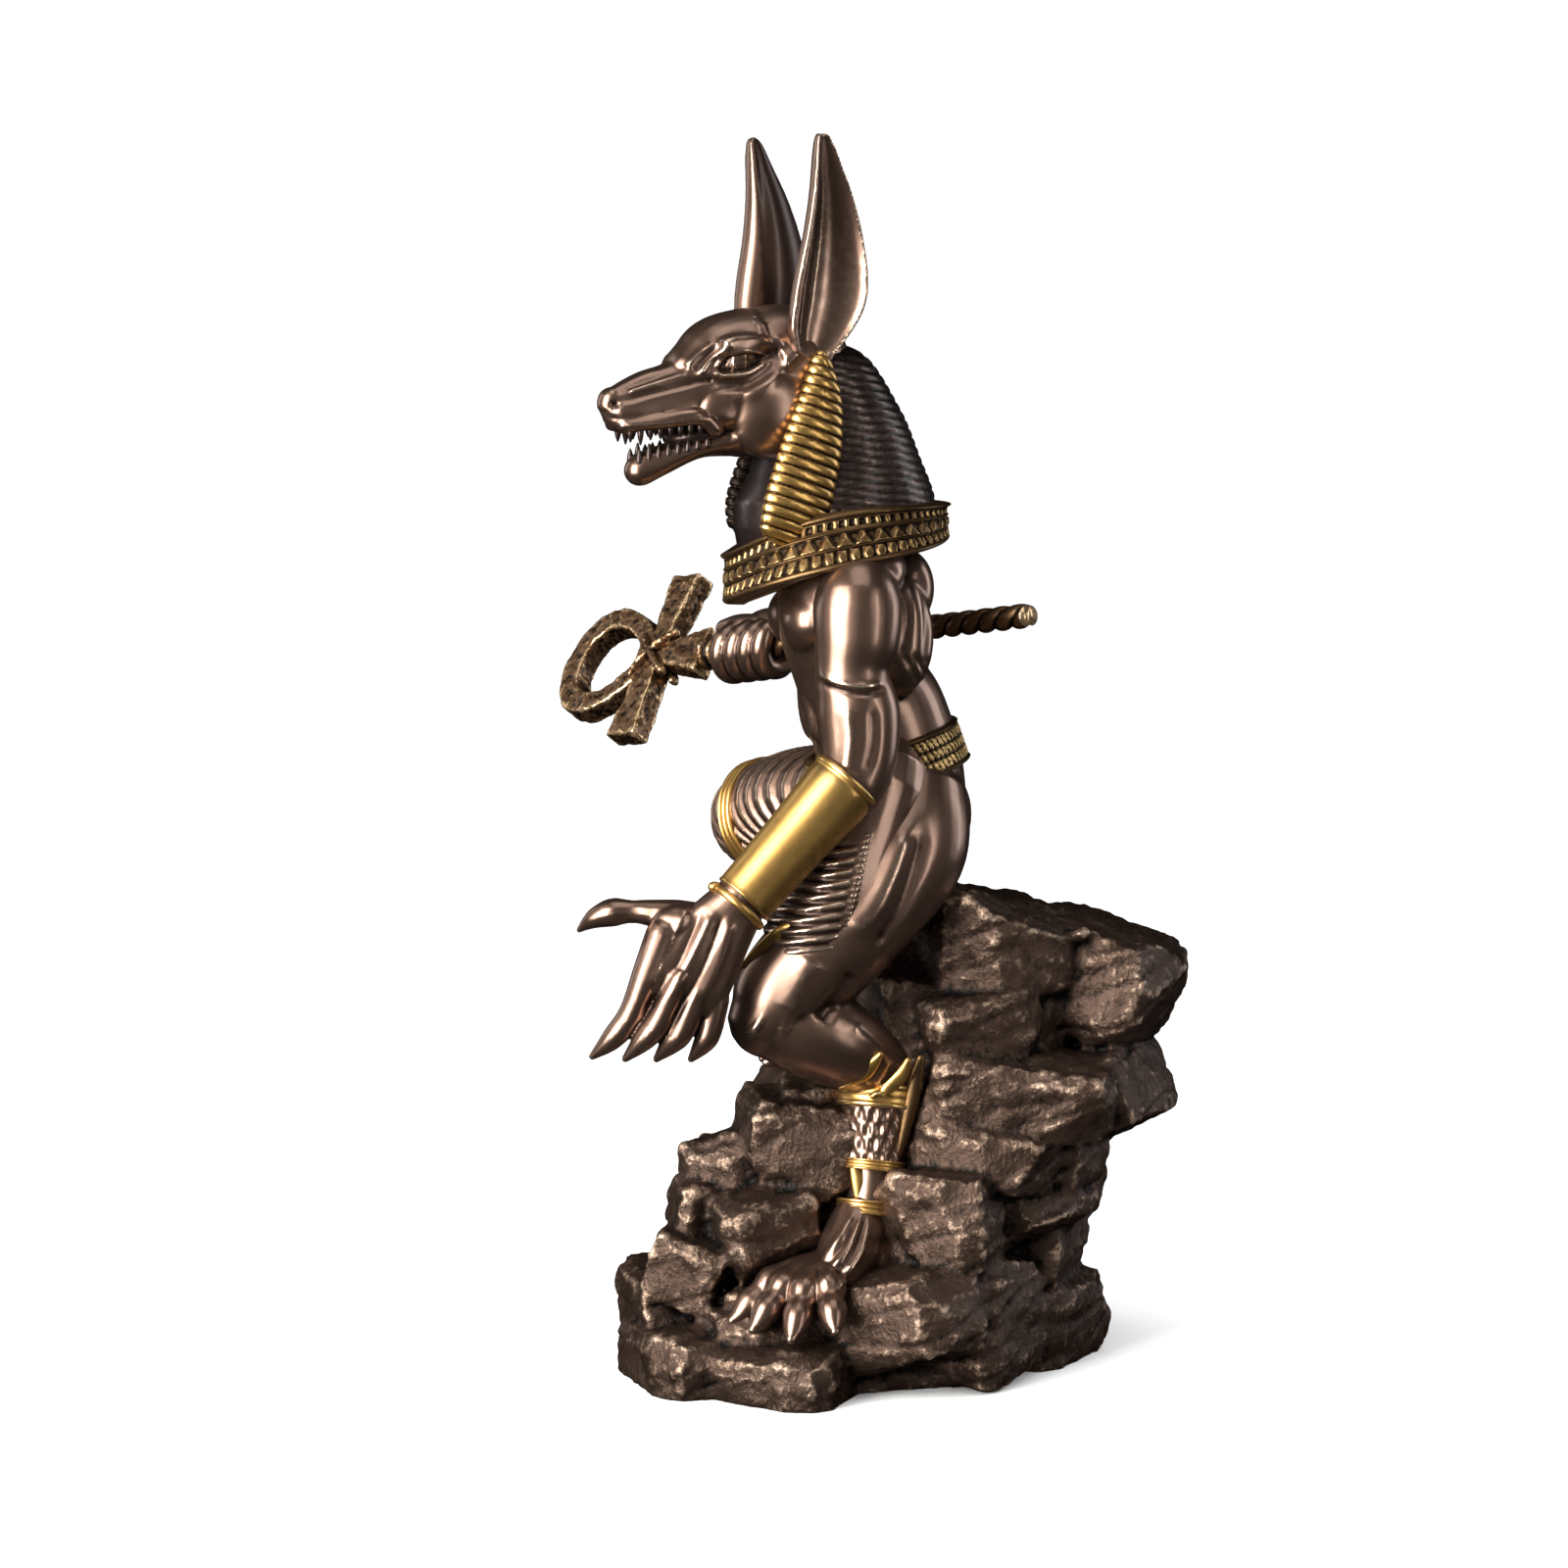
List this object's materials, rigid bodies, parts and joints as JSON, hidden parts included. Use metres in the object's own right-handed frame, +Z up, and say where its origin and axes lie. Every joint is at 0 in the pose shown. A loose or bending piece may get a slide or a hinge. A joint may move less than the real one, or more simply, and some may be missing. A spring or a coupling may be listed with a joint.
{
  "type": "anubis statue",
  "caption": "Crouching jackal-headed figure with striped headdress, broad collar, bracers and kilt, holding an ankh on a twisted rod, on a base of stacked rocks",
  "frame": {"origin": "centre of the flat underside of the rock base, at the level that it stands on", "axes": "+Z up, the figure's chest faces -Y, its left side is +X"},
  "size_m": [0.1676, 0.1504, 0.2794],
  "materials": {
    "dark_stone": "cast resin painted dark brown, dry-brushed with bronze on the edges",
    "bronze": "cold-cast bronze resin, hand-polished, with gold paint on the headdress, collar, bracers and greaves",
    "aged_gold": "cold-cast resin with a rough brown-gold patina"
  },
  "bodies": {
    "root": {"rock_base": "dark_stone", "anubis_figure": "bronze", "ankh_staff": "aged_gold"}
  },
  "joints": []
}
